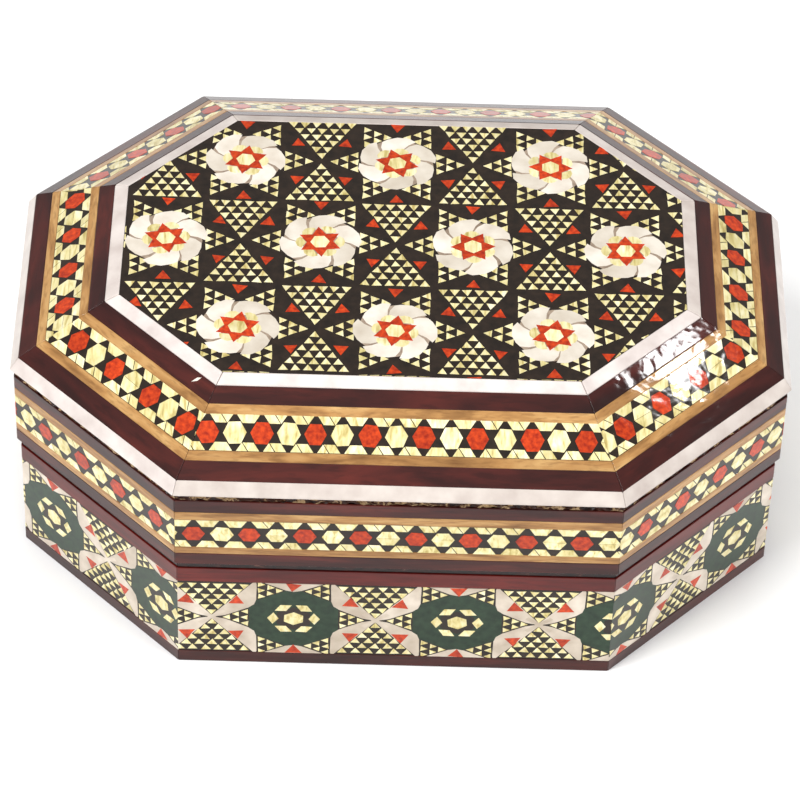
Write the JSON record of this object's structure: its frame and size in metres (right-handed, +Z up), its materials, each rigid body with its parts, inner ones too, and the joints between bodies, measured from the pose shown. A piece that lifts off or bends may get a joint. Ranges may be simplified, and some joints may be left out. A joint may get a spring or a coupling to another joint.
{
  "type": "inlaid wooden box",
  "caption": "Octagonal wooden trinket box with a hinged bevelled lid, mitred walls, star mosaic inlay panels, bone lines and velvet lining.",
  "frame": {"origin": "middle of the underside of the base, on the surface that the box stands on", "axes": "+Z up, +X along the length to the right, -Y towards the front; the hinges are on the +Y side"},
  "size_m": [0.125, 0.095, 0.0495],
  "materials": {
    "box_wood": "plain brown hardwood boards, satin",
    "dark_wood": "dark mahogany strip under gloss lacquer",
    "red_brown_wood": "red-brown strip under gloss lacquer",
    "pale_wood": "tan wood line under gloss lacquer",
    "mosaic": "micro-mosaic of brass, bone and stained wood under gloss lacquer",
    "bone": "polished bone-white line",
    "lining_velvet": "dark red velvet on card",
    "hinge_brass": "aged brass"
  },
  "bodies": {
    "base": {"base_bottom_board": "box_wood", "base_floor_lining": "lining_velvet", "base_inlay_back": "mosaic", "base_inlay_back_left": "mosaic", "base_inlay_back_right": "mosaic", "base_inlay_front": "mosaic", "base_inlay_front_left": "mosaic", "base_inlay_front_right": "mosaic", "base_inlay_left": "mosaic", "base_inlay_right": "mosaic", "base_lower_edging": "dark_wood", "base_upper_edging": "red_brown_wood", "base_wall_back": "box_wood", "base_wall_back_left": "box_wood", "base_wall_back_right": "box_wood", "base_wall_front": "box_wood", "base_wall_front_left": "box_wood", "base_wall_front_right": "box_wood", "base_wall_left": "box_wood", "base_wall_lining": "lining_velvet", "base_wall_right": "box_wood", "hinge_base_screws": "hinge_brass", "hinge_left_base_leaf": "hinge_brass", "hinge_left_pin": "hinge_brass", "hinge_right_base_leaf": "hinge_brass", "hinge_right_pin": "hinge_brass"},
    "lid": {"hinge_left_lid_leaf": "hinge_brass", "hinge_lid_screws": "hinge_brass", "hinge_right_lid_leaf": "hinge_brass", "lid_ceiling_lining": "lining_velvet", "lid_edge_bone_line": "bone", "lid_rim_inlay": "mosaic", "lid_rim_lower_dark_strip": "dark_wood", "lid_rim_lower_pale_strip": "pale_wood", "lid_rim_upper_dark_strip": "dark_wood", "lid_rim_upper_pale_strip": "pale_wood", "lid_rim_wall_back": "box_wood", "lid_rim_wall_back_left": "box_wood", "lid_rim_wall_back_right": "box_wood", "lid_rim_wall_front": "box_wood", "lid_rim_wall_front_left": "box_wood", "lid_rim_wall_front_right": "box_wood", "lid_rim_wall_left": "box_wood", "lid_rim_wall_right": "box_wood", "lid_slope_board_back": "box_wood", "lid_slope_board_back_left": "box_wood", "lid_slope_board_back_right": "box_wood", "lid_slope_board_front": "box_wood", "lid_slope_board_front_left": "box_wood", "lid_slope_board_front_right": "box_wood", "lid_slope_board_left": "box_wood", "lid_slope_board_right": "box_wood", "lid_slope_inlay": "mosaic", "lid_slope_lower_dark_strip": "dark_wood", "lid_slope_lower_pale_strip": "pale_wood", "lid_slope_upper_dark_strip": "dark_wood", "lid_slope_upper_pale_strip": "pale_wood", "lid_top_board": "box_wood", "lid_top_bone_line": "bone", "lid_top_inlay": "mosaic"}
  },
  "joints": [
    {"name": "lid_hinge", "type": "hinge", "parent": "base", "child": "lid", "pos_m": [0, 0.0465, 0.02312], "axis": [-1, 0, 0], "range_deg": [0, 110]}
  ]
}
